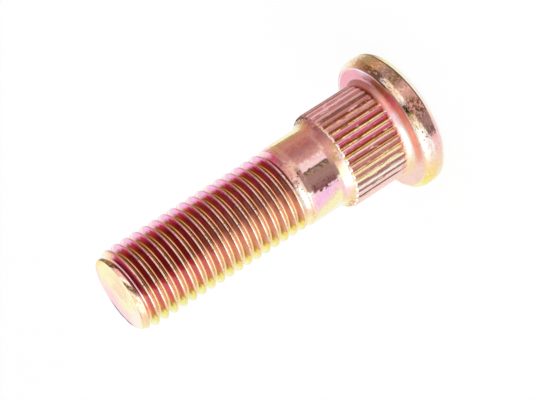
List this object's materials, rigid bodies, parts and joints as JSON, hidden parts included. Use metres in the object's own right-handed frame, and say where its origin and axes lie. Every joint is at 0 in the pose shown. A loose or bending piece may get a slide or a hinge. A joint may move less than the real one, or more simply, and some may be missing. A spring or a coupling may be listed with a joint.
{
  "type": "wheel stud",
  "caption": "Press-in wheel stud: round flat head, straight-ridged knurl on the neck, plain shank, right-hand thread, yellow zinc finish.",
  "frame": {"origin": "centre of the head's flat outer face, on which the stud stands", "axes": "+Z along the stud's axis towards the thread's tip; the stud is turned so that the picture looks along +Y"},
  "size_m": [0.02, 0.02, 0.0475],
  "materials": {
    "yellow_zinc_steel": "cold-formed steel, zinc plated with a thin iridescent yellow passivate that shows gold, pink and crimson"
  },
  "bodies": {
    "root": {"wheel_stud": "yellow_zinc_steel"}
  },
  "joints": []
}
